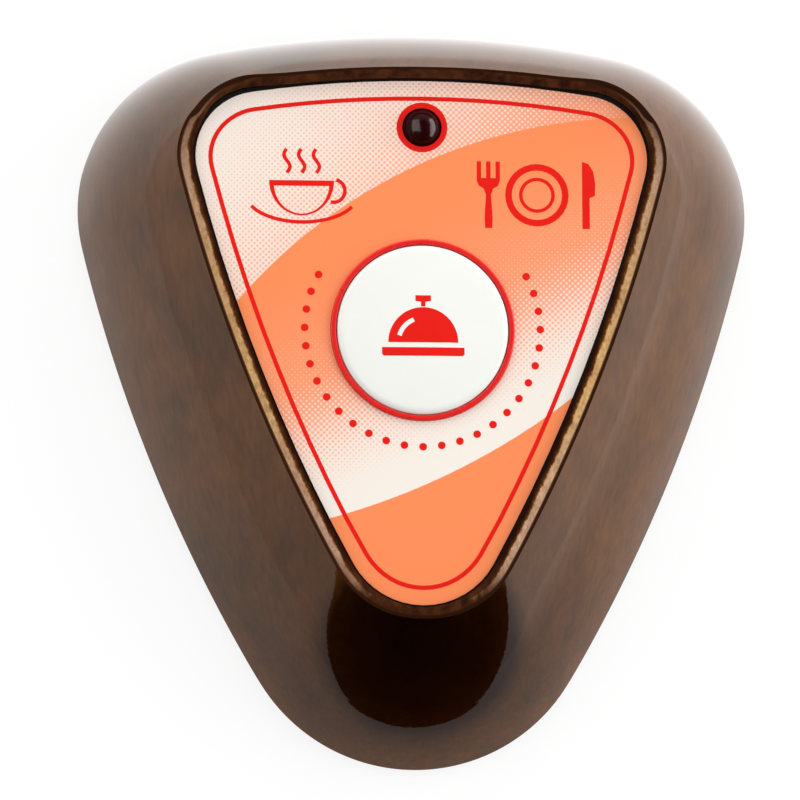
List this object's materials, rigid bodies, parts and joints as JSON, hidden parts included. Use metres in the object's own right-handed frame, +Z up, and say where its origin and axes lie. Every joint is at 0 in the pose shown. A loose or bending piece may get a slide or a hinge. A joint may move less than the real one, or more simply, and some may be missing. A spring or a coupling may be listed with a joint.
{
  "type": "waiter call button",
  "caption": "Rounded triangular wooden call button with a recessed printed face, a round push button, a signal lamp and a quarter-turn battery door",
  "frame": {"origin": "on the table under the middle of the body's outline, level with the soles of the rubber feet", "axes": "+Z up from the table, +Y towards the signal lamp, +X to the right of someone who reads the face"},
  "size_m": [0.089, 0.0984, 0.021],
  "materials": {
    "lacquered_wood": "dark stained hardwood under clear gloss lacquer",
    "black_plastic": "fine spark texture",
    "printed_film": "smooth printed film",
    "red_plastic": "polished",
    "white_plastic": "smooth, slightly glossy",
    "dark_plastic": "moulded",
    "tinned_steel": "stamped sheet",
    "red_epoxy": "clear cast epoxy, polished",
    "solder_mask": "solder mask over glass fibre",
    "nickel_can": "nickel plated can",
    "black_ceramic": "fired",
    "tan_ceramic": "fired",
    "enamelled_wire": "enamelled",
    "gilt_spring": "plated spring strip",
    "zinc_screw": "zinc plated",
    "black_rubber": "matte rubber"
  },
  "bodies": {
    "housing": {"wood_housing": "lacquered_wood", "face_plate": "black_plastic", "printed_overlay": "printed_film", "button_ring": "red_plastic", "switch_body": "dark_plastic", "switch_cover": "tinned_steel", "switch_legs": "tinned_steel", "led_lens": "red_epoxy", "led_leads": "tinned_steel", "circuit_board": "solder_mask", "encoder_chip": "dark_plastic", "encoder_legs": "tinned_steel", "saw_resonator": "nickel_can", "rf_transistor": "dark_plastic", "chip_resistors": "black_ceramic", "chip_capacitors": "tan_ceramic", "antenna_coil": "enamelled_wire", "coin_cell": "nickel_can", "cell_contact_positive": "gilt_spring", "cell_contact_negative": "gilt_spring", "base_cover": "black_plastic", "base_screws": "zinc_screw", "board_screws": "zinc_screw", "rubber_feet": "black_rubber"},
    "button": {"button_cap": "white_plastic"},
    "plunger": {"switch_plunger": "dark_plastic"},
    "door": {"battery_door": "black_plastic"}
  },
  "joints": [
    {"name": "button_press", "type": "slide", "parent": "housing", "child": "button", "axis": [0, 0, -1], "range_m": [0, 0.0005], "stiffness_N_per_m": 600},
    {"name": "plunger_press", "type": "slide", "parent": "housing", "child": "plunger", "axis": [0, 0, -1], "range_m": [0, 0.0005]},
    {"name": "door_turn", "type": "hinge", "parent": "housing", "child": "door", "pos_m": [0, 0.006, 0.002], "axis": [0, 0, 1], "range_deg": [0, 45]}
  ],
  "couplings": [
    {"joint": "plunger_press", "follows": "button_press", "ratio": 1}
  ]
}
